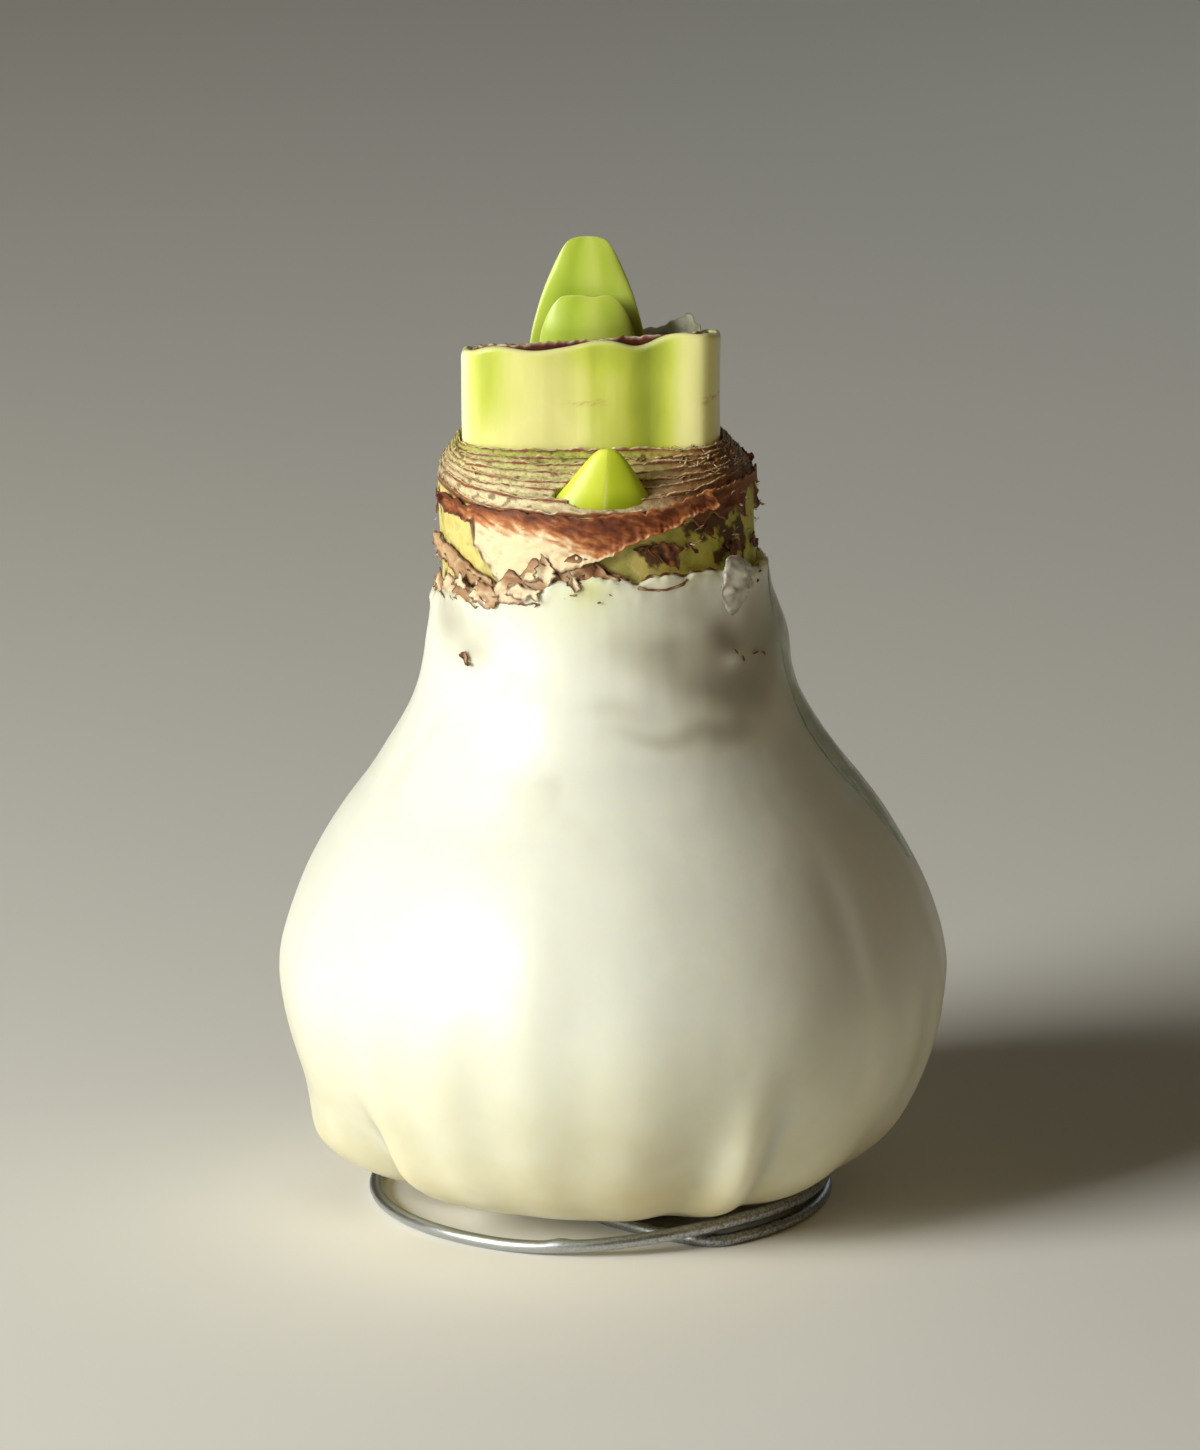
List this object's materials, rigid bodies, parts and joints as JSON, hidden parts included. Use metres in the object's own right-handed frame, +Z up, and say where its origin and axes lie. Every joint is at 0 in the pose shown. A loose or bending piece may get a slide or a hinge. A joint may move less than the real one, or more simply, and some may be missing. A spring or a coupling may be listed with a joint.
{
  "type": "waxed amaryllis bulb",
  "caption": "Wax-dipped amaryllis bulb with a cut neck, young green leaf tips and a small side bud, standing upright on a coiled wire stand.",
  "frame": {"origin": "on the table, under the middle of the bulb's belly", "axes": "+Z up along the bulb, -Y towards the front where the small bud comes up, +X to the right seen from the front"},
  "size_m": [0.1032, 0.1032, 0.1511],
  "materials": {
    "galvanised_wire": "dull zinc with fine spangle",
    "white_wax": "soft satin wax, slightly see-through where it is thin",
    "bulb_flesh": "dry cut flesh with brown scale edges",
    "leaf_green": "smooth fresh leaf with a soft sheen",
    "bud_green": "smooth bright young leaf",
    "dry_scale": "dry, dark, fibrous",
    "dry_skin": "dry papery skin, fibrous"
  },
  "bodies": {
    "root": {"wire_stand": "galvanised_wire", "wax_coat": "white_wax", "bulb": "bulb_flesh", "neck_sheath": "leaf_green", "inner_scale": "dry_scale", "leaf_tip_tall": "leaf_green", "leaf_tip_short": "leaf_green", "front_bud": "bud_green", "tunic_front": "dry_skin", "tunic_left": "dry_skin", "tunic_right": "dry_skin", "tunic_back": "dry_skin"}
  },
  "joints": []
}
